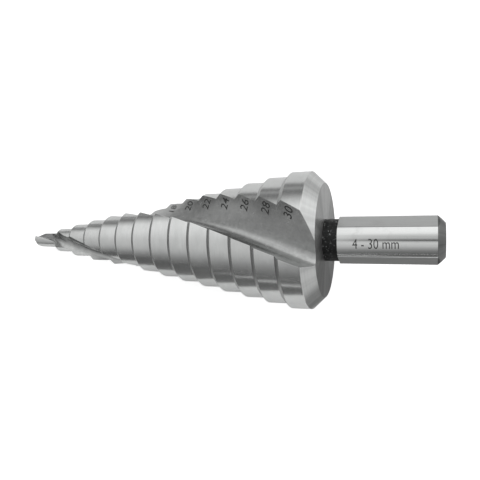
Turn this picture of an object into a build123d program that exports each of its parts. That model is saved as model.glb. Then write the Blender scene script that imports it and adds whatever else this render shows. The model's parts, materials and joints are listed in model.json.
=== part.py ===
"""Step drill for sheet metal: 4 to 30 mm in 2 mm steps, two spiral flutes, 10 mm three-flat shank.

It is modelled upright, shank end on Z = 0 and point up, then laid down as it comes to rest.
Lengths are in millimetres and angles in degrees. Angles about the axis count anticlockwise
seen from the point.
"""
import os
from math import atan, degrees, log, radians, tan

from build123d import *

# Steps
PILOT_DIAMETER = 4.0
STEP_COUNT = 13             # steps above the pilot, 6 to 30 mm
STEP_RISE = 2.0             # growth in diameter from one step to the next
STEP_LENGTH = 5.15          # land and chamfer together
STEP_CHAMFER_LENGTH = 1.0   # 45 degrees with a rise of 2 mm
PILOT_LENGTH = 7.1          # from the first step to the point
RELIEF = 0.22               # how far off centre each land is ground

# Point
POINT_ANGLE = 118.0         # included angle of the lips
GASH_ANGLE = 55.0           # slope of the ground faces behind the lips
GASH_SETBACK = 0.25         # from the lip to the gash

# Body behind the largest step
REAR_CHAMFER = 2.6
NECK_DIAMETER = 9.0
NECK_LENGTH = 3.05
SHANK_DIAMETER = 10.0
SHANK_LENGTH = 20.95
SHANK_END_CHAMFER = 1.5
CHAMFER_CROWN = 0.04        # how far the end chamfer bulges

# Chuck flats
FLAT_DEPTH = 0.37
FLAT_COUNT = 3
FLAT_ANGLE = 54.0           # direction of the first flat

# Flutes
FLUTE_RADIUS = 2.3          # between the rake face and the flute's broad wall
REAR_WALL_DISTANCE = 11.0   # broad wall to axis at the rear face
WEB_THICKNESS = 2.0         # between the two broad walls in the pilot
WEB_START = 12.55           # from the point to where the web begins to thicken
REAR_LEAD = 263.0           # length of a full turn at the rear face
POINT_LEAD = 45.0           # the same at the point
REAR_EDGE_ANGLE = -24.1     # direction of the first cutting edge at the rear face
FLUTE_SECTIONS = 16
FLUTE_OVERRUN = 2.0         # cutters reach past the metal by this much

# Rest: the cone lies on its edges, with one flute down
REST_ROLL = -20.8           # turn about the drill's own axis
REST_TILT_LOSS = 1.82       # slope of the steps less the tilt of the lying axis

BODY_RADIUS = (PILOT_DIAMETER + STEP_COUNT * STEP_RISE) / 2
REAR_FACE = SHANK_LENGTH + NECK_LENGTH
CONE_START = REAR_FACE + REAR_CHAMFER
PILOT_START = CONE_START + STEP_COUNT * STEP_LENGTH
POINT = PILOT_START + PILOT_LENGTH
WEB_HEIGHT = POINT - WEB_START
ON_BASE = (Align.CENTER, Align.CENTER, Align.MIN)


def edge_angle(height):
    """Direction of the first cutting edge: its lead shortens evenly from rear face to point."""
    loss = (REAR_LEAD - POINT_LEAD) / (POINT - REAR_FACE)
    lead = REAR_LEAD - loss * (height - REAR_FACE)
    return REAR_EDGE_ANGLE + 360 / loss * log(REAR_LEAD / lead)


def wall_distance(height):
    """Distance from the axis to the broad wall of a flute: the core tapers down to the web."""
    share = (height - REAR_FACE) / (WEB_HEIGHT - REAR_FACE)
    web_distance = WEB_THICKNESS / 2
    return max(web_distance, REAR_WALL_DISTANCE + share * (web_distance - REAR_WALL_DISTANCE))


def relieved_land(blank, blank_height, middle):
    """Both lands of a turned blank, each ground about a centre moved towards its cutting edge."""
    half_width = 2 * BODY_RADIUS
    jump_ahead = 20         # the two lands meet inside the flutes, this far ahead of the edges
    lands = []
    for turn in (0, 180):
        angle = edge_angle(middle) + turn
        half = Box(2 * half_width, half_width, blank_height,
                   align=(Align.CENTER, Align.MAX, Align.MIN))
        ground = Rot(Z=angle) * Pos(RELIEF, 0, 0) * blank
        lands.append(ground & (Rot(Z=angle + jump_ahead) * half))
    return lands[0] + lands[1]


def step(base, radius):
    """One step: a straight land with a chamfer at its front, from its base upwards."""
    ground_radius = radius - RELIEF
    land_length = STEP_LENGTH - STEP_CHAMFER_LENGTH
    land = Cylinder(ground_radius, land_length, align=ON_BASE)
    chamfer_cone = Cone(ground_radius, ground_radius - STEP_RISE / 2, STEP_CHAMFER_LENGTH,
                        align=ON_BASE)
    blank = land + Pos(0, 0, land_length) * chamfer_cone
    return Pos(0, 0, base) * relieved_land(blank, STEP_LENGTH, base + STEP_LENGTH / 2)


def pilot():
    """The straight pilot with its conical point."""
    ground_radius = PILOT_DIAMETER / 2 - RELIEF
    cone_height = ground_radius / tan(radians(POINT_ANGLE / 2))
    straight = PILOT_LENGTH - cone_height
    blank = Cylinder(ground_radius, straight, align=ON_BASE)
    blank += Pos(0, 0, straight) * Cone(ground_radius, 0, cone_height, align=ON_BASE)
    return Pos(0, 0, PILOT_START) * relieved_land(blank, PILOT_LENGTH,
                                                  PILOT_START + PILOT_LENGTH / 2)


def turned_pieces():
    """The rear disc, every step and the pilot, before fluting."""
    rear_radius = BODY_RADIUS - RELIEF
    rear = Cone(rear_radius - REAR_CHAMFER, rear_radius, REAR_CHAMFER, align=ON_BASE)
    middle = REAR_FACE + REAR_CHAMFER / 2
    pieces = [Pos(0, 0, REAR_FACE) * relieved_land(rear, REAR_CHAMFER, middle)]
    for index in range(STEP_COUNT):
        base = CONE_START + index * STEP_LENGTH
        pieces.append(step(base, BODY_RADIUS - index * STEP_RISE / 2))
    return pieces + [pilot()]


def flute_cutter():
    """What one flute removes: a rake face, a fillet and a broad flat wall, twisted upwards."""
    size = 1.3 * BODY_RADIUS    # past the largest step, wherever the wall is
    start = REAR_FACE - FLUTE_OVERRUN
    rise = (POINT + FLUTE_OVERRUN - start) / FLUTE_SECTIONS
    sections = []
    for index in range(FLUTE_SECTIONS + 1):
        height = start + index * rise
        notch = Rectangle(size, size, align=(Align.MIN, Align.MIN))
        inner_corner = notch.vertices().sort_by(Axis.X)[:2].sort_by(Axis.Y)[0]
        notch = fillet(inner_corner, FLUTE_RADIUS)
        place = Pos(0, 0, height) * Rot(Z=edge_angle(height)) * Pos(wall_distance(height), 0, 0)
        sections.append(place * notch)
    return loft(sections)


def point_gash():
    """The ground face behind one lip, which splits the point."""
    size = 2 * PILOT_DIAMETER
    block = Box(2 * size, size, size, align=(Align.CENTER, Align.MAX, Align.MIN))
    return (Pos(0, 0, POINT) * Rot(Z=edge_angle(POINT)) * Pos(0, -GASH_SETBACK, 0)
            * Rot(X=GASH_ANGLE) * block)


def shank():
    """Neck and shank, turned as one, with three flats for the chuck's jaws."""
    radius = SHANK_DIAMETER / 2
    neck_radius = NECK_DIAMETER / 2
    end_chamfer = SagittaArc((radius - SHANK_END_CHAMFER, 0), (radius, SHANK_END_CHAMFER),
                             CHAMFER_CROWN)
    rest = Polyline(end_chamfer @ 1, (radius, SHANK_LENGTH), (neck_radius, SHANK_LENGTH),
                    (neck_radius, REAR_FACE), (0, REAR_FACE), (0, 0), end_chamfer @ 0)
    bar = revolve(Plane.XZ * make_face(end_chamfer + rest), Axis.Z)
    for index in range(FLAT_COUNT):
        flat = Box(radius, 2 * radius, SHANK_LENGTH, align=(Align.MIN, Align.CENTER, Align.MIN))
        bar -= Rot(Z=FLAT_ANGLE + index * 360 / FLAT_COUNT) * Pos(radius - FLAT_DEPTH, 0, 0) * flat
    return bar


def step_drill():
    """The whole drill, upright: each turned piece is fluted, then all are one solid."""
    cutter = flute_cutter()
    gash = point_gash()
    fluted = []
    for piece in turned_pieces():
        for turn in (0, 180):
            piece -= Rot(Z=turn) * cutter
        fluted.append(piece)
    for turn in (0, 180):
        fluted[-1] -= Rot(Z=turn) * gash
    return shank().fuse(*fluted)


def laid_down(drill):
    """The drill on its side: +X from point to shank, resting on the floor with one flute down."""
    tilt = degrees(atan(STEP_RISE / 2 / STEP_LENGTH)) - REST_TILT_LOSS
    lying = Rot(Y=-90 - tilt) * Rot(Z=REST_ROLL) * drill
    box = lying.bounding_box()
    return Pos(-box.center().X, -box.center().Y, -box.min.Z) * lying


drill = laid_down(step_drill())
drill.label = "step_drill"

os.makedirs("parts", exist_ok=True)
export_step(drill, "parts/step_drill.step")
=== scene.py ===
"""Step drill, 4 to 30 mm: the visual model, its materials, the studio and the camera.

The mesh is worked out upright in the drill's own frame, in millimetres: z runs from the end of the
shank to the point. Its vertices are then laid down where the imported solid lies.
"""
import bmesh
import bpy
import json
import numpy as np
from math import acos, atan2, cos, hypot, log, pi, radians, sin, sqrt
from mathutils import Matrix, Vector


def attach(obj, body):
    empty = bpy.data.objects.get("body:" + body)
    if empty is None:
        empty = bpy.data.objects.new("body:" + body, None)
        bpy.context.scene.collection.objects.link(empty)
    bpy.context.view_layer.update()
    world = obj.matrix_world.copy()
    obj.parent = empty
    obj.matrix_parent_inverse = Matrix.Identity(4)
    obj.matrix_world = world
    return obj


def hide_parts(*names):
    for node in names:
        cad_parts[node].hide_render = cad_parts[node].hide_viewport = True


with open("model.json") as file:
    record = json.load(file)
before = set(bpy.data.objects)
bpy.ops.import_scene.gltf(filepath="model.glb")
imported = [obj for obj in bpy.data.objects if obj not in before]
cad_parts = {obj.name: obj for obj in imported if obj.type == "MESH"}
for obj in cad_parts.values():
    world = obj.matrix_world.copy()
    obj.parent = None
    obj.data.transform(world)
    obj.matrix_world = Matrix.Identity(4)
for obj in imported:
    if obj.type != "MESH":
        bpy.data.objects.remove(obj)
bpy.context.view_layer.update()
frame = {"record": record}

MM = 0.001

# The drill's sizes, as in its source
PILOT_RADIUS = 2.0
PILOT_LENGTH = 7.1
STEP_COUNT = 13
STEP_RISE = 1.0          # growth in radius from one step to the next
STEP_LENGTH = 5.15       # land and chamfer together
STEP_CHAMFER = 1.0
RELIEF = 0.22            # how far off centre each land is ground
REAR_CHAMFER = 2.6
NECK_RADIUS = 4.5
SHANK_RADIUS = 5.0
SHANK_LENGTH = 20.95
SHANK_END_CHAMFER = 1.5
CHAMFER_CROWN = 0.04     # how far the end chamfer bulges
FLAT_COUNT = 3
FLAT_RADIUS = 4.63       # from the axis to a chuck flat
FLAT_ANGLE = 54.0        # direction of the first flat, in degrees
FLUTE_RADIUS = 2.3       # between a flute's rake face and its broad wall
REAR_WALL = 11.0         # from the axis to the broad wall, at the rear face
WEB_HALF = 1.0           # the same in the pilot
WEB_START = 12.55        # from the point to where the web begins to thicken
REAR_LEAD = 263.0        # length of a full turn at the rear face
POINT_LEAD = 45.0        # the same at the point
REAR_EDGE_ANGLE = -24.1  # direction of the first cutting edge at the rear face, in degrees
REAR_FACE = 24.0
BODY_RADIUS = PILOT_RADIUS + STEP_COUNT * STEP_RISE
CONE_START = REAR_FACE + REAR_CHAMFER
PILOT_START = CONE_START + STEP_COUNT * STEP_LENGTH
POINT = PILOT_START + PILOT_LENGTH
WEB_HEIGHT = POINT - WEB_START

# The pilot's finish, which goes a little beyond the source
PILOT_TURN = 23.5        # how far its flutes are turned on, in degrees
PILOT_WEB_HALF = 0.5
PILOT_FLUTE_RADIUS = 1.0
PILOT_BLEND_AHEAD = 4.5  # this form begins so far before the pilot
PILOT_BLEND = 6.5        # and is reached over this length
POINT_PEAK = 0.3         # how far the chisel edge stands ahead of a 118 degree cone's point
POINT_BLUNT = 0.5        # half the width of the chisel edge
LIP_SLOPE = 0.96         # how steeply the end face falls outwards
LIP_RELIEF = 0.8         # how far the end face falls behind a lip, before the gash
GASH_DEPTH = 1.1         # how much further it falls at the heel
LIP_SHARE = 0.45         # share of a flute's rim along which the end face hasn't fallen yet
RELIEF_SHARE = 0.77      # share of a land's rim along which it falls by LIP_RELIEF
GASH_SHARE = 0.3         # share of a land's rim that the gash takes

# The mesh: columns run along the drill, and rings go round it
LAND_COLUMNS = 62
FLUTE_COLUMNS = 46
HALF_TURN = LAND_COLUMNS + FLUTE_COLUMNS
COLUMNS = 2 * HALF_TURN
FLAT_COLUMNS = 24        # on each chuck flat
SHANK_RINGS = 24
PILOT_RINGS = 26
BEVEL = 0.05
CORNER_GAP = 0.12        # from a corner to the ring that keeps its shading tight
SHANK_GAP = 0.15         # the same along the shank
END_CHAMFER_GAP = 0.03
PILOT_GAP = 0.3          # from the last step to the first ring with the pilot's own heights
FLAT_MARGIN = 0.012      # a face this far inside the shank's round belongs to a flat
LAND_JUMP = radians(20)  # the two lands meet inside the flutes, this far ahead of the edges
JUMP_BLEND = radians(5)  # and pass into each other within this much on either side
FLUTE_SAMPLES = 200      # along a flute's outline, before its columns are spaced evenly
OUTLINE_SAMPLES = 90     # outlines along the pilot, between which its rings are read off
SHARP_CORNER = cos(radians(28))
SHARP_EDGE = cos(radians(8))     # the same along cutting edges and heels
FAR_FROM_EDGE = 5.0      # stands for the distance to an edge where there is none

# Where the rings lie, as shares of each part's length or width
STEP_SHARES = (0.14, 0.27, 0.4, 0.53, 0.66, 0.8, 0.92)
CHAMFER_SHARES = (0.15, 0.4, 0.65, 0.9)
REAR_BEVEL_SHARES = (0.04, 0.2, 0.4, 0.6, 0.8, 0.96)
REAR_FACE_SHARES = (0.04, 0.15, 0.3, 0.45, 0.6, 0.75, 0.88, 0.96)
NECK_SHARES = (0.05, 0.2, 0.35, 0.5, 0.65, 0.8, 0.95)
SHOULDER_SHARES = (0.1, 0.5)
SHANK_END_SHARES = (0.0, 0.03, 0.1, 0.2, 0.3, 0.4, 0.5, 0.56, 0.62, 0.68, 0.74, 0.8, 0.85, 0.9,
                    0.94, 0.98)
END_FACE_SHARES = (0.04, 0.12, 0.22, 0.34, 0.46, 0.58, 0.7, 0.82, 0.92)
END_FACE_RINGS = len(END_FACE_SHARES) + 1    # with the pilot's rim

# Regions of the surface, in the order of the mesh's material slots
LAND, CHAMFER, FLUTE, REAR, REAR_BEVEL, NECK, SHANK, FLAT, SHANK_END = range(9)


# The drill's own frame, from its mounts
mounts = {mount["name"]: mount for mount in frame["record"]["mounts"]}
shank_axis = Vector(mounts["shank_end"]["axis"]).normalized()
flat_axis = Vector(mounts["chuck_flat_1"]["axis"]).normalized()
drill_z = -shank_axis
flat_turn = radians(FLAT_ANGLE)
drill_x = (cos(flat_turn) * flat_axis - sin(flat_turn) * drill_z.cross(flat_axis)).normalized()
drill_y = drill_z.cross(drill_x)
shank_end = Vector(mounts["shank_end"]["pos_m"])
drill_axes = Matrix((drill_x, drill_y, drill_z)).transposed()
drill_frame = Matrix.Translation(shank_end) @ drill_axes.to_4x4()


def smooth(value):
    """0 to 1 with no corner at either end."""
    value = min(1.0, max(0.0, value))
    return value * value * (3 - 2 * value)


def pilot_share(height):
    """0 along the steps, 1 along the pilot, whose flutes are narrower and turned a little on."""
    return smooth((height - PILOT_START + PILOT_BLEND_AHEAD) / PILOT_BLEND)


def edge_angle(height):
    """Direction of the first cutting edge, in radians: its lead shortens towards the point."""
    loss = (REAR_LEAD - POINT_LEAD) / (POINT - REAR_FACE)
    lead = REAR_LEAD - loss * (height - REAR_FACE)
    turned = REAR_EDGE_ANGLE + 360 / loss * log(REAR_LEAD / lead)
    return radians(turned + PILOT_TURN * pilot_share(height))


def wall_distance(height):
    """From the axis to the broad wall of a flute."""
    share = (height - REAR_FACE) / (WEB_HEIGHT - REAR_FACE)
    wall = max(WEB_HALF, REAR_WALL + share * (WEB_HALF - REAR_WALL))
    return wall + (PILOT_WEB_HALF - wall) * pilot_share(height)


def fillet_radius(height):
    """Between the rake face and the broad wall."""
    return FLUTE_RADIUS + (PILOT_FLUTE_RADIUS - FLUTE_RADIUS) * pilot_share(height)


def land_distance(angle, ground_radius):
    """From the axis to the nearer land, for an angle from the first cutting edge."""
    turned = (angle + pi) % (2 * pi) - pi
    reach = sqrt(ground_radius ** 2 - (RELIEF * sin(turned)) ** 2)
    first = RELIEF * cos(turned) + reach
    second = -RELIEF * cos(turned) + reach
    share = smooth((turned - LAND_JUMP + JUMP_BLEND) / (2 * JUMP_BLEND))
    if turned < -pi + LAND_JUMP + JUMP_BLEND:
        share = 1 - smooth((turned + pi - LAND_JUMP + JUMP_BLEND) / (2 * JUMP_BLEND))
    return first + share * (second - first)


def flute_distance(angle, wall, fillet):
    """From the axis to the flute's fillet or its broad wall, for an angle of 0 to 90 degrees."""
    if angle >= atan2(fillet, wall):
        return wall / max(cos(angle), 1e-3)
    centre = hypot(wall + fillet, fillet)
    turned = angle - atan2(fillet, wall + fillet)
    return centre * cos(turned) - sqrt(max(0, fillet ** 2 - (centre * sin(turned)) ** 2))


def crossing(inside, outside, ground_radius, wall, fillet):
    """The angle between the two where the flute's outline leaves the land."""
    for _ in range(40):
        middle = (inside + outside) / 2
        if flute_distance(middle, wall, fillet) < land_distance(middle, ground_radius):
            inside = middle
        else:
            outside = middle
    return (inside + outside) / 2


def half_section(height, ground_radius):
    """One land and one flute at this height, from the land's heel to the next heel.

    Gives a point for each of HALF_TURN columns, in a frame turned by edge_angle(height).
    """
    wall = wall_distance(height)
    fillet = fillet_radius(height)
    deepest = atan2(fillet, wall + fillet)
    edge_radius = ground_radius + RELIEF
    has_rake_face = edge_radius > wall + fillet
    heel = crossing(deepest, pi / 2, ground_radius, wall, fillet)
    edge = 0.0
    if not has_rake_face:
        edge = crossing(deepest, 0.0, ground_radius, wall, fillet)
    points = []
    for column in range(LAND_COLUMNS):
        angle = heel - pi + (edge + pi - heel) * column / LAND_COLUMNS
        distance = land_distance(angle, ground_radius)
        points.append((distance * cos(angle), distance * sin(angle)))
    outline = [(edge_radius, 0.0)] if has_rake_face else []
    for index in range(FLUTE_SAMPLES + 1):
        angle = edge + (heel - edge) * index / FLUTE_SAMPLES
        distance = min(flute_distance(angle, wall, fillet), land_distance(angle, ground_radius))
        outline.append((distance * cos(angle), distance * sin(angle)))
    outline = np.array(outline)
    lengths = np.concatenate(([0], np.cumsum(np.hypot(*np.diff(outline, axis=0).T))))
    wanted = np.linspace(0, lengths[-1], FLUTE_COLUMNS + 1)[:-1]
    xs = np.interp(wanted, lengths, outline[:, 0])
    ys = np.interp(wanted, lengths, outline[:, 1])
    return points + list(zip(xs, ys))


def section(height, ground_radius):
    """The whole outline at this height, as x, y in the drill's frame."""
    turn = edge_angle(height)
    half = half_section(height, ground_radius)
    outline = []
    for side in (0, pi):
        c, s = cos(turn + side), sin(turn + side)
        outline += [(x * c - y * s, x * s + y * c) for x, y in half]
    return outline


def cone_levels():
    """Heights, ground radii and the region above each, from the rear face to the pilot."""
    body = BODY_RADIUS - RELIEF
    levels = [(REAR_FACE, body - REAR_CHAMFER, REAR_BEVEL)]
    for share in REAR_BEVEL_SHARES:
        radius = body - REAR_CHAMFER * (1 - share)
        levels.append((REAR_FACE + REAR_CHAMFER * share, radius, REAR_BEVEL))
    for index in range(STEP_COUNT):
        base = CONE_START + index * STEP_LENGTH
        radius = BODY_RADIUS - index * STEP_RISE - RELIEF
        top = base + STEP_LENGTH - STEP_CHAMFER
        if index == 0:
            levels.append((base - BEVEL, radius - BEVEL, LAND))
            levels.append((base + BEVEL, radius, LAND))
        else:
            levels.append((base, radius, LAND))
        levels.append((base + CORNER_GAP, radius, LAND))
        for share in STEP_SHARES:
            levels.append((base + share * (top - base), radius, LAND))
        levels.append((top - CORNER_GAP, radius, LAND))
        levels.append((top - BEVEL, radius, CHAMFER))
        levels.append((top + BEVEL, radius - BEVEL, CHAMFER))
        for share in CHAMFER_SHARES:
            levels.append((top + share * STEP_CHAMFER, radius - share * STEP_RISE, CHAMFER))
    for height in (PILOT_START, PILOT_START + CORNER_GAP, PILOT_START + PILOT_GAP):
        levels.append((height, PILOT_RADIUS - RELIEF, LAND))
    return levels


def end_fall(column):
    """How far the end face has fallen at this column's rim: nothing at a lip, most at a heel."""
    place = column % HALF_TURN
    if place >= LAND_COLUMNS:
        share = (place - LAND_COLUMNS) / FLUTE_COLUMNS
        return (LIP_RELIEF + GASH_DEPTH) * smooth((share - LIP_SHARE) / (1 - LIP_SHARE))
    share = place / LAND_COLUMNS
    behind = LIP_RELIEF * min(1.0, (1 - share) / RELIEF_SHARE)
    return behind + GASH_DEPTH * smooth(1 - share / GASH_SHARE)


def point_rows():
    """The pilot above its first rings, up to its rim, and the end face with its two lips."""
    radius = PILOT_RADIUS - RELIEF
    start = PILOT_START + PILOT_GAP
    heights = np.linspace(start, POINT, OUTLINE_SAMPLES)
    outlines = np.array([section(float(height), radius) for height in heights])

    def at(column, height):
        return [float(np.interp(height, heights, outlines[:, column, axis])) for axis in (0, 1)]

    def end_height(column, distance):
        lip = (hypot(distance, POINT_BLUNT) - POINT_BLUNT) * LIP_SLOPE
        return POINT + POINT_PEAK - lip - end_fall(column) * min(1.0, distance / radius)

    tops = []
    for column in range(COLUMNS):
        top = POINT - 1.0
        for _ in range(12):
            top = end_height(column, hypot(*at(column, top)))
        tops.append(top)
    rows = []
    for share in np.linspace(0, 1, PILOT_RINGS + 1)[1:]:
        row = []
        for column, top in enumerate(tops):
            height = start + (top - start) * float(share)
            row.append((*at(column, height), height))
        rows.append(row)
    rim = rows[-1]
    for share in END_FACE_SHARES:
        row = []
        for column, (x, y, _) in enumerate(rim):
            x, y = x * (1 - share), y * (1 - share)
            row.append((x, y, end_height(column, hypot(x, y))))
        rows.append(row)
    return rows, [LAND] * (PILOT_RINGS - 1) + [CHAMFER] * END_FACE_RINGS


def round_row(radius, height, angles, flats=False):
    """A ring of the neck or the shank."""
    third = 2 * pi / FLAT_COUNT
    row = []
    for angle in angles:
        distance = radius
        if flats:
            off = (angle - radians(FLAT_ANGLE) + third / 2) % third - third / 2
            distance = min(radius, FLAT_RADIUS / cos(off))
        row.append((distance * cos(angle), distance * sin(angle), height))
    return row


def between(first, second, share, height):
    """A ring part of the way from one ring to another."""
    return [(a[0] + (b[0] - a[0]) * share, a[1] + (b[1] - a[1]) * share, height)
            for a, b in zip(first, second)]


def shank_angles(start):
    """Angles of the shank's columns: the edges of each flat fall on a column."""
    half_flat = acos(FLAT_RADIUS / SHANK_RADIUS)
    third = 2 * pi / FLAT_COUNT
    round_columns = COLUMNS // FLAT_COUNT - FLAT_COLUMNS
    angles = []
    for index in range(FLAT_COUNT):
        centre = radians(FLAT_ANGLE) + index * third
        for column in range(FLAT_COLUMNS):
            angles.append(centre - half_flat + 2 * half_flat * column / FLAT_COLUMNS)
        for column in range(round_columns):
            angles.append(centre + half_flat + (third - 2 * half_flat) * column / round_columns)
    shift = min(range(COLUMNS), key=lambda i: abs((angles[i] - start + pi) % (2 * pi) - pi))
    angles = angles[shift:] + [angle + 2 * pi for angle in angles[:shift]]
    turns = round((start - angles[0]) / (2 * pi))
    return [angle + turns * 2 * pi for angle in angles]


def shank_rows(angles):
    """The shank from its end to just below its shoulder, with the region above each ring."""
    rows = []
    for share in SHANK_END_SHARES:
        bulge = CHAMFER_CROWN * 4 * share * (1 - share) / sqrt(2)
        radius = SHANK_RADIUS - SHANK_END_CHAMFER * (1 - share) + bulge
        rows.append(round_row(radius, SHANK_END_CHAMFER * share - bulge, angles, True))
    even = np.linspace(SHANK_END_CHAMFER + SHANK_GAP, SHANK_LENGTH - SHANK_GAP, SHANK_RINGS)
    heights = [SHANK_END_CHAMFER + END_CHAMFER_GAP, *even, SHANK_LENGTH - BEVEL]
    rows += [round_row(SHANK_RADIUS, float(height), angles, True) for height in heights]
    return rows, [SHANK_END] * len(SHANK_END_SHARES) + [SHANK] * len(heights)


def build_rows():
    """All rings from the shank's end to the point, with the region of the faces above each."""
    levels = cone_levels()
    cone_rows = []
    for height, radius, _ in levels:
        cone_rows.append([(x, y, height) for x, y in section(height, radius)])
    rear = cone_rows[0]
    rear_angles = np.unwrap([atan2(y, x) for x, y, _ in rear])
    angles = np.array(shank_angles(rear_angles[0]))
    rows, regions = shank_rows(angles)
    outer = round_row(SHANK_RADIUS, SHANK_LENGTH, angles, True)
    inner = round_row(NECK_RADIUS, SHANK_LENGTH, angles)
    rows += [between(outer, inner, share, SHANK_LENGTH) for share in SHOULDER_SHARES] + [inner]
    for share in NECK_SHARES:
        height = SHANK_LENGTH + (REAR_FACE - SHANK_LENGTH) * share
        rows.append(round_row(NECK_RADIUS, height, angles + (rear_angles - angles) * share))
    regions += [NECK] * (len(SHOULDER_SHARES) + 1 + len(NECK_SHARES))
    collar = round_row(NECK_RADIUS, REAR_FACE, rear_angles)
    rows += [collar] + [between(collar, rear, share, REAR_FACE) for share in REAR_FACE_SHARES]
    regions += [REAR] * (1 + len(REAR_FACE_SHARES))
    first_cone_row = len(rows)
    tip_rows, tip_regions = point_rows()
    rows += cone_rows + tip_rows
    regions += [region for _, _, region in levels] + tip_regions
    return rows, regions, first_cone_row


def face_region(row_region, row, column, first_cone_row, rim_row):
    """The region of one face: the flutes cut every ring from the rear chamfer to the rim."""
    if first_cone_row <= row < rim_row and column % HALF_TURN >= LAND_COLUMNS:
        return FLUTE
    return row_region


def make_drill():
    """The drill as one closed mesh, with its regions as material slots."""
    rows, row_regions, first_cone_row = build_rows()
    count = len(rows)
    places = [place for row in rows for place in row]
    start_centre = len(places)
    places.append((0, 0, 0))
    end_centre = len(places)
    places.append((0, 0, POINT + POINT_PEAK))
    vertices = [drill_frame @ (Vector(place) * MM) for place in places]
    faces = []
    regions = []
    for row in range(count - 1):
        for column in range(COLUMNS):
            after = (column + 1) % COLUMNS
            a = row * COLUMNS + column
            b = row * COLUMNS + after
            faces.append((a, b, b + COLUMNS, a + COLUMNS))
            region = face_region(row_regions[row], row, column, first_cone_row,
                                 count - END_FACE_RINGS)
            if region == SHANK:
                middle = [sum(rows[row][c][k] for c in (column, after)) / 2 for k in (0, 1)]
                if hypot(*middle) < SHANK_RADIUS - FLAT_MARGIN:
                    region = FLAT
            regions.append(region)
    last = (count - 1) * COLUMNS
    for column in range(COLUMNS):
        after = (column + 1) % COLUMNS
        faces.append((start_centre, after, column))
        regions.append(SHANK_END)
        faces.append((end_centre, last + column, last + after))
        regions.append(CHAMFER)
    mesh = bpy.data.meshes.new("drill_body")
    mesh.from_pydata(vertices, [], faces)
    mesh.polygons.foreach_set("material_index", regions)
    mesh.polygons.foreach_set("use_smooth", [True] * len(faces))
    mesh.update()
    mark_sharp(mesh, count, first_cone_row)
    add_flute_lines(mesh, rows, first_cone_row)
    add_places(mesh, places)
    body = bpy.data.objects.new("drill_body", mesh)
    bpy.context.collection.objects.link(body)
    return body


def add_places(mesh, places):
    """Vertex attributes for the materials.

    place is in mm in the drill's own frame, and outwards is a direction in the row frame.
    """
    flat = np.array(places, np.float32).ravel()
    mesh.attributes.new("place", "FLOAT_VECTOR", "POINT").data.foreach_set("vector", flat)
    outwards = []
    for x, y, _ in places:
        direction = drill_x * x + drill_y * y
        outwards.extend(direction.normalized() if direction.length > 1e-9 else drill_x)
    mesh.attributes.new("outwards", "FLOAT_VECTOR", "POINT").data.foreach_set("vector", outwards)


def mark_sharp(mesh, row_count, first_cone_row):
    """Sharp edges: clear corners anywhere, and slight ones along cutting edges and heels."""
    normals = np.zeros(len(mesh.polygons) * 3)
    mesh.polygons.foreach_get("normal", normals)
    normals = normals.reshape(-1, 3)
    sides = {}
    for polygon in mesh.polygons:
        for key in polygon.edge_keys:
            sides.setdefault(key, []).append(polygon.index)
    sharp = np.zeros(len(mesh.edges), bool)
    for index, edge in enumerate(mesh.edges):
        row_a, column_a = divmod(edge.vertices[0], COLUMNS)
        row_b, column_b = divmod(edge.vertices[1], COLUMNS)
        on_cone = first_cone_row <= min(row_a, row_b) and max(row_a, row_b) < row_count
        on_line = column_a == column_b and column_a % HALF_TURN in (0, LAND_COLUMNS)
        one, other = sides[edge.key]
        limit = SHARP_EDGE if on_cone and on_line else SHARP_CORNER
        sharp[index] = float(normals[one] @ normals[other]) < limit
    layer = mesh.attributes.new("sharp_edge", "BOOLEAN", "EDGE")
    layer.data.foreach_set("value", sharp)


def add_flute_lines(mesh, rows, first_cone_row):
    """Vertex attributes: across, edge_gap and heel_gap.

    across goes from 0 to 1 over each land and each flute. The gaps are the way round the drill,
    in mm, to the cutting edge and to the heel.
    """
    across = np.zeros(len(mesh.vertices), np.float32)
    edge_gap = np.full(len(mesh.vertices), FAR_FROM_EDGE, np.float32)
    heel_gap = np.full(len(mesh.vertices), FAR_FROM_EDGE, np.float32)
    for row in range(first_cone_row, len(rows)):
        ring = np.array(rows[row])[:, :2]
        steps = np.hypot(*(np.roll(ring, -1, axis=0) - ring).T)
        for start in (0, HALF_TURN):
            land = np.concatenate(([0], np.cumsum(steps[start:start + LAND_COLUMNS])))
            for column in range(LAND_COLUMNS):
                index = row * COLUMNS + start + column
                across[index] = column / LAND_COLUMNS
                edge_gap[index] = land[-1] - land[column]
                heel_gap[index] = land[column]
            flute = np.concatenate(([0], np.cumsum(steps[start + LAND_COLUMNS:start + HALF_TURN])))
            for column in range(FLUTE_COLUMNS):
                index = row * COLUMNS + start + LAND_COLUMNS + column
                across[index] = column / FLUTE_COLUMNS
                edge_gap[index] = flute[column]
                heel_gap[index] = flute[-1] - flute[column]
    for name, values in (("across", across), ("edge_gap", edge_gap), ("heel_gap", heel_gap)):
        mesh.attributes.new(name, "FLOAT", "POINT").data.foreach_set("value", values)


body = make_drill()
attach(body, "root")
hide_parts("step_drill")


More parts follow.
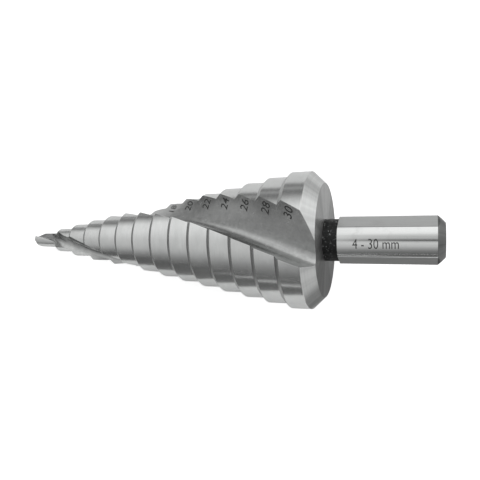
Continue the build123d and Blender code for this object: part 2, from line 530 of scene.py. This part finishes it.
class Graph:
    """A material's node tree, with short calls for the nodes used here."""

    def __init__(self, name):
        self.material = bpy.data.materials.new(name)
        self.material.use_nodes = True
        self.tree = self.material.node_tree
        self.shader = self.tree.nodes["Principled BSDF"]

    def feed(self, socket, value):
        """Links a node's output to a socket, or sets the socket to a plain value."""
        if isinstance(value, bpy.types.NodeSocket):
            self.tree.links.new(value, socket)
        else:
            socket.default_value = value

    def add(self, kind, inputs, output=0, **settings):
        node = self.tree.nodes.new(kind)
        for key, value in settings.items():
            setattr(node, key, value)
        for key, value in inputs.items():
            self.feed(node.inputs[key], value)
        return node.outputs[output]

    def math(self, operation, first, second=0.0):
        return self.add("ShaderNodeMath", {0: first, 1: second}, operation=operation)

    def product(self, *factors):
        result = factors[0]
        for factor in factors[1:]:
            result = self.math("MULTIPLY", result, factor)
        return result

    def vector(self, operation, first, second=(0, 0, 0), output=0):
        return self.add("ShaderNodeVectorMath", {0: first, 1: second}, output, operation=operation)

    def combine(self, x, y, z):
        return self.add("ShaderNodeCombineXYZ", {0: x, 1: y, 2: z})

    def value(self, name):
        return self.add("ShaderNodeAttribute", {}, "Fac", attribute_name=name)

    def place(self, scale=(1, 1, 1)):
        """Where a point is in the drill's own frame, in mm."""
        place = self.add("ShaderNodeAttribute", {}, "Vector", attribute_name="place")
        return self.vector("MULTIPLY", place, scale)

    def noise(self, place, scale, detail=3.0, roughness=0.55):
        return self.add("ShaderNodeTexNoise", {"Vector": place, "Scale": scale, "Detail": detail,
                                               "Roughness": roughness})

    def span(self, value, low, high, to_low, to_high):
        """value from low..high to to_low..to_high, kept within them."""
        return self.add("ShaderNodeMapRange", {"Value": value, "From Min": low, "From Max": high,
                                               "To Min": to_low, "To Max": to_high})

    def vary(self, noise, low, high):
        """From low to high over the middle of a noise's range, where most of it lies."""
        return self.span(noise, 0.3, 0.7, low, high)

    def grey(self, value, tint=(0.985, 1.0, 0.99)):
        """A near-neutral steel colour of this brightness."""
        return self.combine(*[self.product(value, part) for part in tint])

    def bump(self, height, distance):
        """Bump from a height of 0 to 1, for a distance in metres."""
        normal = self.add("ShaderNodeBump", {"Height": height, "Distance": distance,
                                             "Strength": 1.0})
        self.feed(self.shader.inputs["Normal"], normal)

    def metal(self, colour, roughness, anisotropy=0.0, along=None):
        self.feed(self.shader.inputs["Base Color"], colour)
        self.feed(self.shader.inputs["Roughness"], roughness)
        self.shader.inputs["Metallic"].default_value = 1.0
        if along is not None:
            self.shader.inputs["Anisotropic"].default_value = anisotropy
            self.feed(self.shader.inputs["Tangent"], along)

    def axial(self):
        """Along the axis, in the row frame."""
        return self.combine(*drill_z)

    def radial(self):
        """Outwards from the axis, in the row frame."""
        return self.add("ShaderNodeAttribute", {}, "Vector", attribute_name="outwards")


def ground_land():
    """Lands: ground round the axis, so fine lines run round them, with a painted highlight at the
    edge.
    """
    graph = Graph("ground_land")
    lines = graph.noise(graph.place((0.25, 0.25, 7.0)), 1.0, 5.0, 0.7)
    patches = graph.noise(graph.place((0.3, 0.3, 0.5)), 1.0, 3.0)
    # Painted highlight: the colour is paler close to the cutting edge, where the edge catches the
    # light
    edge = graph.span(graph.value("edge_gap"), 0.03, 0.16, 1.2, 1.0)
    tone = graph.product(graph.vary(lines, 0.66, 0.74), graph.vary(patches, 0.94, 1.04), edge)
    graph.metal(graph.grey(tone), graph.vary(lines, 0.18, 0.23), 0.6, graph.axial())
    graph.bump(lines, 6e-7)
    return graph.material


def step_chamfer():
    """The short cones between the lands, a little rougher and darker."""
    graph = Graph("step_chamfer")
    lines = graph.noise(graph.place((0.4, 0.4, 9.0)), 1.0, 4.0, 0.7)
    graph.metal(graph.grey(graph.vary(lines, 0.42, 0.56)), graph.vary(lines, 0.3, 0.42))
    graph.bump(lines, 2e-6)
    return graph.material


def flute_face():
    """Flutes: ground along the spiral, with faint lines along it and small pits."""
    graph = Graph("flute_face")
    across = graph.value("across")
    place = graph.place()
    height = graph.add("ShaderNodeSeparateXYZ", {0: place}, 2)
    along = graph.combine(graph.product(across, 26.0), graph.product(height, 0.18), 0.0)
    lines = graph.noise(along, 1.6, 5.0, 0.65)
    patches = graph.noise(place, 0.8, 5.0, 0.7)
    grain = graph.noise(place, 5.0, 3.0, 0.7)
    # Painted highlight: the colour is brighter along the rake face and fillet, where the flute
    # catches the light
    rake_face_highlight = graph.span(across, 0.08, 0.34, 1.23, 1.0)
    pits = graph.span(grain, 0.62, 0.78, 1.0, 0.85)
    # Painted highlight: the colour is brighter close to the heel
    heel = graph.span(graph.value("heel_gap"), 0.5, 6.0, 1.14, 0.98)
    # Painted shade: the colour is darker towards the point, where the flute narrows and turns from
    # the light
    shade_towards_point = graph.span(height, 80.0, 91.0, 1.0, 0.88)
    tone = graph.product(graph.vary(lines, 0.41, 0.47), rake_face_highlight,
                         graph.vary(patches, 0.86, 1.13), pits, heel, shade_towards_point)
    graph.metal(graph.grey(tone), graph.vary(patches, 0.21, 0.28))
    graph.bump(graph.math("ADD", graph.product(grain, 0.25), lines), 2.5e-6)
    return graph.material


def turned_face(name, low, high, roughness, anisotropy):
    """Faces turned round the axis: fine rings, and painted reflection streaks that run outwards.
    """
    graph = Graph(name)
    flat = graph.vector("MULTIPLY", graph.place(), (1, 1, 0))
    radius = graph.vector("LENGTH", flat, output="Value")
    ring_place = graph.combine(graph.product(radius, 9.0),
                               graph.product(graph.value("across"), 1.5), 0.0)
    rings = graph.noise(ring_place, 1.0, 4.0, 0.7)
    outward = graph.vector("NORMALIZE", flat)
    # Painted reflection: streaks in the colour that run outwards, standing in for the light a
    # turned face reflects
    reflection_streaks = graph.noise(graph.vector("MULTIPLY", outward, (4.0, 4.0, 0)), 1.0, 3.0)
    tone = graph.product(graph.vary(rings, low, high), graph.span(reflection_streaks, 0.35, 0.65, 0.8, 1.18))
    graph.metal(graph.grey(tone), roughness, anisotropy, graph.radial())
    graph.bump(rings, 6e-6)
    return graph.material


def scaled_neck():
    """The neck keeps its dark heat scale, with pale specks."""
    graph = Graph("scaled_neck")
    place = graph.place()
    grain = graph.noise(place, 1.8, 5.0, 0.7)
    specks = graph.noise(place, 2.6, 3.0, 0.6)
    tone = graph.math("ADD", graph.vary(grain, 0.01, 0.035),
                      graph.span(specks, 0.6, 0.68, 0.0, 0.32))
    graph.metal(graph.grey(tone, (0.97, 1.0, 1.0)), graph.vary(grain, 0.32, 0.5))
    graph.shader.inputs["Metallic"].default_value = 0.5
    graph.bump(graph.math("ADD", grain, specks), 6e-5)
    return graph.material


def shank_face(name, low, high, rough_low, rough_high, scale):
    """Shank and flats: ground, with fine marks and a few stains."""
    graph = Graph(name)
    lines = graph.noise(graph.place(scale), 1.0, 5.0, 0.7)
    stains = graph.noise(graph.place((0.5, 0.5, 0.5)), 1.0, 4.0, 0.65)
    tone = graph.product(graph.vary(lines, low, high), graph.span(stains, 0.55, 0.72, 1.0, 0.93))
    roughness = graph.vary(lines, rough_low, rough_high)
    graph.metal(graph.grey(tone), roughness, 0.7, graph.axial())
    graph.bump(lines, 4e-7)
    return graph.material


# In the order of the regions
for material in (
    ground_land(),
    step_chamfer(),
    flute_face(),
    turned_face("rear_face", 0.28, 0.39, 0.34, 0.8),
    turned_face("rear_chamfer", 0.57, 0.7, 0.32, 0.3),
    scaled_neck(),
    shank_face("shank_round", 0.72, 0.78, 0.12, 0.15, (2.5, 2.5, 0.03)),
    shank_face("shank_flat", 0.57, 0.65, 0.3, 0.36, (2.5, 2.5, 0.1)),
    turned_face("shank_end", 0.15, 0.22, 0.42, 0.0),
):
    body.data.materials.append(material)


# Engraved marks
MARK_TOP = 0.012         # the dark filling stands this far off the steel
MARK_DEPTH = 0.06
MARK_SLAB = 0.05         # half the thickness of the text before it is bent onto the steel
DIGIT_SHARE = 0.7        # a digit's height as a share of the text's size
LONG_EDGE = 0.5          # longer edges of the text are halved, so that it bends

# Each step's diameter, on the first flute's broad wall
SMALLEST_MARKED = 18
WALL_MARK_HEIGHT = 1.8
WALL_MARK_WEIGHT = 0.006     # how much bolder than the typeface, as a share of the height
WALL_MARK_RISE = 2.5         # from the step's base to the number's middle
WALL_MARK_INSET = 1.95       # from the heel to the number's middle
WALL_MARK_LEAN = radians(13)

# The range of sizes, along the shank
SHANK_MARK_HEIGHT = 2.1
SHANK_MARK_WEIGHT = -0.004
SHANK_MARK_START = 17.8
SHANK_MARK_ANGLE = radians(-10.5)
SHANK_MARK_WIDTH = 0.73      # its letters are this much narrower than the typeface's


def mark_outline(words, height, align, weight):
    """Text as a thin slab in mm: run along x, rise along y, and z from -MARK_SLAB to MARK_SLAB."""
    curve = bpy.data.curves.new("mark", "FONT")
    curve.body = words
    curve.align_x = align
    curve.align_y = "CENTER"
    curve.size = height / DIGIT_SHARE
    curve.offset = weight * height
    curve.extrude = MARK_SLAB
    curve.resolution_u = 3
    shape = bpy.data.objects.new("mark", curve)
    bpy.context.collection.objects.link(shape)
    evaluated = shape.evaluated_get(bpy.context.evaluated_depsgraph_get())
    mesh = bpy.data.meshes.new_from_object(evaluated)
    bpy.data.objects.remove(shape)
    return mesh


def mark_material():
    """The marks' dark, dull filling."""
    graph = Graph("engraved_mark")
    grain = graph.noise(graph.add("ShaderNodeTexCoord", {}, "Object"), 2500.0, 3.0, 0.6)
    graph.metal(graph.grey(graph.vary(grain, 0.05, 0.13)), graph.vary(grain, 0.5, 0.7))
    return graph.material


MARK_MATERIAL = mark_material()


def place_mark(name, mesh, mapping):
    """Bends a flat text mesh onto the drill: mapping gives a point in mm from run, rise, lift."""
    edit = bmesh.new()
    edit.from_mesh(mesh)
    bmesh.ops.remove_doubles(edit, verts=edit.verts, dist=1e-4)
    bmesh.ops.triangulate(edit, faces=edit.faces)
    long_edges = [edge for edge in edit.edges if edge.calc_length() > LONG_EDGE]
    bmesh.ops.subdivide_edges(edit, edges=long_edges, cuts=1)
    bmesh.ops.triangulate(edit, faces=edit.faces)
    for vertex in edit.verts:
        run, rise, side = vertex.co
        share = (side / MARK_SLAB + 1) / 2
        lift = MARK_TOP * share - MARK_DEPTH * (1 - share)
        vertex.co = drill_frame @ (Vector(mapping(run, rise, lift)) * MM)
    bmesh.ops.recalc_face_normals(edit, faces=edit.faces)
    edit.to_mesh(mesh)
    edit.free()
    mesh.name = name
    mark = bpy.data.objects.new(name, mesh)
    bpy.context.collection.objects.link(mark)
    mesh.materials.clear()
    mesh.materials.append(MARK_MATERIAL)
    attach(mark, "root")


def wall_mark(diameter):
    """A step's diameter on the first flute's broad wall, near the heel."""
    index = round((BODY_RADIUS - diameter / 2) / STEP_RISE)
    centre = CONE_START + index * STEP_LENGTH + WALL_MARK_RISE
    heel = sqrt((diameter / 2 - RELIEF) ** 2 - wall_distance(centre) ** 2)
    middle = heel - WALL_MARK_INSET

    def mapping(run, rise, lift):
        y = middle + run * cos(WALL_MARK_LEAN) + rise * sin(WALL_MARK_LEAN)
        z = centre - run * sin(WALL_MARK_LEAN) + rise * cos(WALL_MARK_LEAN)
        turn = edge_angle(z)
        x = wall_distance(z) + lift
        return x * cos(turn) - y * sin(turn), x * sin(turn) + y * cos(turn), z

    outline = mark_outline(str(diameter), WALL_MARK_HEIGHT, "CENTER", WALL_MARK_WEIGHT)
    place_mark(f"size_{diameter}", outline, mapping)


def shank_mark():
    """The range of sizes along the shank."""

    def mapping(run, rise, lift):
        radius = SHANK_RADIUS + lift
        angle = SHANK_MARK_ANGLE + rise / SHANK_RADIUS
        height = SHANK_MARK_START - SHANK_MARK_WIDTH * run
        return radius * cos(angle), radius * sin(angle), height

    outline = mark_outline("4 - 30 mm", SHANK_MARK_HEIGHT, "LEFT", SHANK_MARK_WEIGHT)
    place_mark("size_range", outline, mapping)


for diameter in range(SMALLEST_MARKED, 2 * int(BODY_RADIUS) + 1, 2):
    wall_mark(diameter)
shank_mark()


# Camera, at the photograph's viewing angle
VIEW_CENTRE = 43.6       # height along the axis that the camera looks at
VIEW_YAW = radians(19.65)
VIEW_DISTANCE = 119.8 * MM
SENSOR_WIDTH = 36
PICTURE_PIXELS = 480     # width of the picture
FOCAL_PIXELS = 527       # focal length at that width
back = -drill_z
away = back * sin(VIEW_YAW) + drill_x * cos(VIEW_YAW)
right = back * cos(VIEW_YAW) - drill_x * sin(VIEW_YAW)
target = drill_frame @ Vector((0, 0, VIEW_CENTRE * MM))
camera_data = bpy.data.cameras.new("camera")
camera_data.sensor_width = SENSOR_WIDTH
camera_data.lens = FOCAL_PIXELS / PICTURE_PIXELS * SENSOR_WIDTH
camera_data.clip_start = 0.005
camera = bpy.data.objects.new("camera", camera_data)
bpy.context.collection.objects.link(camera)
camera.matrix_world = (Matrix.Translation(target + away * VIEW_DISTANCE)
                       @ Matrix((right, drill_y, away)).transposed().to_4x4())
bpy.context.scene.camera = camera

# Studio: a pale floor, cards on it that only reflections show, one of them a painted shadow under
# the shank, and a soft sky
FLOOR_SIZE = 3
FLOOR_WHITE = 0.72       # what the floor adds for the camera, so that it reads as white
FLOOR_REFLECTED = 0.1    # the same in metal and glass, where the steel's edges have to stay clear
bpy.ops.mesh.primitive_plane_add(size=FLOOR_SIZE)
floor = bpy.context.object
floor.name = "floor"


def floor_material():
    """Pale and matt, with a glow for the camera and a weaker one for metal and glass."""
    graph = Graph("floor")
    graph.shader.inputs["Base Color"].default_value = (0.9, 0.9, 0.9, 1)
    graph.shader.inputs["Roughness"].default_value = 0.8
    graph.shader.inputs["Specular IOR Level"].default_value = 0.0
    graph.shader.inputs["Emission Color"].default_value = (1, 1, 1, 1)
    strength = graph.product(graph.add("ShaderNodeLightPath", {}, "Is Camera Ray"), FLOOR_WHITE)
    for kind in ("Is Glossy Ray", "Is Transmission Ray"):
        reflected = graph.product(graph.add("ShaderNodeLightPath", {}, kind), FLOOR_REFLECTED)
        strength = graph.math("MAXIMUM", strength, reflected)
    graph.feed(graph.shader.inputs["Emission Strength"], strength)
    return graph.material


floor.data.materials.append(floor_material())


def card(name, height, corners, near_level, far_level, fade):
    """A card at this height, in metres, that only reflections show.

    Its brightness goes from near_level at its first edge to far_level, over the distance fade.
    """
    corners = [(x, y, height) for x, y in corners]
    mesh = bpy.data.meshes.new(name)
    mesh.from_pydata(corners, [], [tuple(range(len(corners)))])
    piece = bpy.data.objects.new(name, mesh)
    bpy.context.collection.objects.link(piece)
    graph = Graph(name)
    graph.shader.inputs["Base Color"].default_value = (0, 0, 0, 1)
    graph.shader.inputs["Specular IOR Level"].default_value = 0.0
    edge = Vector(corners[1]) - Vector(corners[0])
    inward = Vector((edge.y, -edge.x, 0)).normalized()
    place = graph.add("ShaderNodeTexCoord", {}, "Object")
    distance = graph.vector("DOT_PRODUCT", graph.vector("SUBTRACT", place, corners[0]),
                            tuple(inward), "Value")
    level = graph.span(distance, 0.0, fade, near_level, far_level)
    graph.feed(graph.shader.inputs["Emission Color"], graph.combine(level, level, level))
    graph.shader.inputs["Emission Strength"].default_value = 1.0
    mesh.materials.append(graph.material)
    piece.visible_camera = False
    piece.visible_diffuse = False
    piece.visible_shadow = False


CARD_HEIGHT = 0.5 * MM
card("front_card", CARD_HEIGHT,
     [(-0.0103, -0.0213), (0.3, -0.2944), (0.3, -0.9), (-0.5, -0.9), (-0.5, -0.0213)],
     0.2, 0.14, 0.022)
card("front_strip", 2 * CARD_HEIGHT,
     [(-0.03, -0.1), (0.03, -0.1), (0.03, -0.125), (-0.03, -0.125)], 1.0, 1.0, 0.01)
# A painted shadow: a dark patch on the floor under the shank, which only reflections show
card("shank_shadow_card", CARD_HEIGHT,
     [(0.026, 0.006), (0.06, -0.004), (0.06, -0.03), (0.026, -0.03)], 0.24, 0.24, 0.01)

# How bright the sky is round the drill's axis: degrees from facing the camera, positive upwards.
# SKY is for directions that lean towards the tip, SKY_BEHIND for those towards the shank.
SKY = ((-180, 0.4), (-95, 0.4), (-84, 0.2), (-74, 0.15), (-65, 0.18), (-57, 0.25), (-49, 0.33),
       (-42, 0.43), (-34, 0.54), (-23, 0.64), (-12, 0.7), (0, 0.76), (15, 0.9), (30, 1.0),
       (54, 1.0), (62, 0.78), (70, 0.58), (76, 0.38), (83, 0.2), (90, 0.2), (92, 0.45),
       (96, 0.45), (98, 0.2), (103, 0.2), (108, 0.5), (118, 0.6), (180, 0.6))
SKY_BEHIND = ((-180, 0.4), (-104, 0.34), (-94, 0.4), (-88, 0.52), (-84, 0.4), (-76, 0.18),
              (-64, 0.17), (-53, 0.22), (-42, 0.36), (-28, 0.62), (-16, 0.72), (-8, 0.6),
              (-4, 0.15), (1, 0.15), (6, 0.47), (17, 0.57), (26, 0.83), (36, 1.05), (60, 1.15),
              (72, 0.9), (82, 0.3), (92, 0.25), (104, 0.55), (180, 0.55))

# Where one part of the sky passes into the next: cosines of the angle from the tip's direction
BEHIND_TO_AHEAD = (0.1, 0.18)
AHEAD_TO_TIP = (0.6, 0.7)
TIP_TO_FAR_TIP = (0.78, 0.86)
REAR_TO_BEHIND = (-0.75, -0.55)
TIP_LEVEL = 0.42

world = bpy.data.worlds.new("world")
bpy.context.scene.world = world
world.use_nodes = True


class WorldGraph(Graph):
    """The same calls for the world's node tree."""

    def __init__(self, tree):
        self.tree = tree


sky = WorldGraph(world.node_tree)
direction = sky.add("ShaderNodeTexCoord", {}, "Generated")
toward_camera = sky.vector("DOT_PRODUCT", direction, tuple(drill_x), "Value")
upward = sky.vector("DOT_PRODUCT", direction, tuple(drill_y), "Value")
tipward = sky.vector("DOT_PRODUCT", direction, tuple(drill_z), "Value")
around = sky.math("ARCTAN2", upward, toward_camera)
around = sky.math("ADD", sky.product(around, 1 / (2 * pi)), 0.5)


def sky_ramp(stops):
    """Brightness by the angle round the axis."""
    ramp = world.node_tree.nodes.new("ShaderNodeValToRGB")
    elements = ramp.color_ramp.elements
    elements.remove(elements[0])
    for index, (angle, level) in enumerate(stops):
        place = (angle + 180) / 360
        element = elements[0] if index == 0 else elements.new(place)
        element.position = place
        element.color = (level, level, level, 1)
    sky.feed(ramp.inputs[0], around)
    return ramp.outputs[0]


def blend(first, second, share):
    """first where share is 0, second where it is 1."""
    return sky.math("ADD", sky.product(first, sky.math("SUBTRACT", 1.0, share)),
                    sky.product(second, share))


level = blend(sky_ramp(SKY_BEHIND), sky_ramp(SKY), sky.span(tipward, *BEHIND_TO_AHEAD, 0.0, 1.0))
height = sky.add("ShaderNodeSeparateXYZ", {0: direction}, 2)
far_tip_level = sky.span(height, 0.3, 0.4, 0.12, 0.85)
tip_level = blend(TIP_LEVEL, far_tip_level, sky.span(tipward, *TIP_TO_FAR_TIP, 0.0, 1.0))
level = blend(level, tip_level, sky.span(tipward, *AHEAD_TO_TIP, 0.0, 1.0))
rear_level = sky.span(upward, -0.3, 0.4, 0.36, 1.08)
level = blend(rear_level, level, sky.span(tipward, *REAR_TO_BEHIND, 0.0, 1.0))

# The camera itself sees white
seen = sky.add("ShaderNodeLightPath", {}, "Is Camera Ray")
level = sky.math("MAXIMUM", level, seen)
background = world.node_tree.nodes["Background"]
sky.feed(background.inputs["Color"], level)

bpy.context.scene.view_settings.view_transform = "Standard"
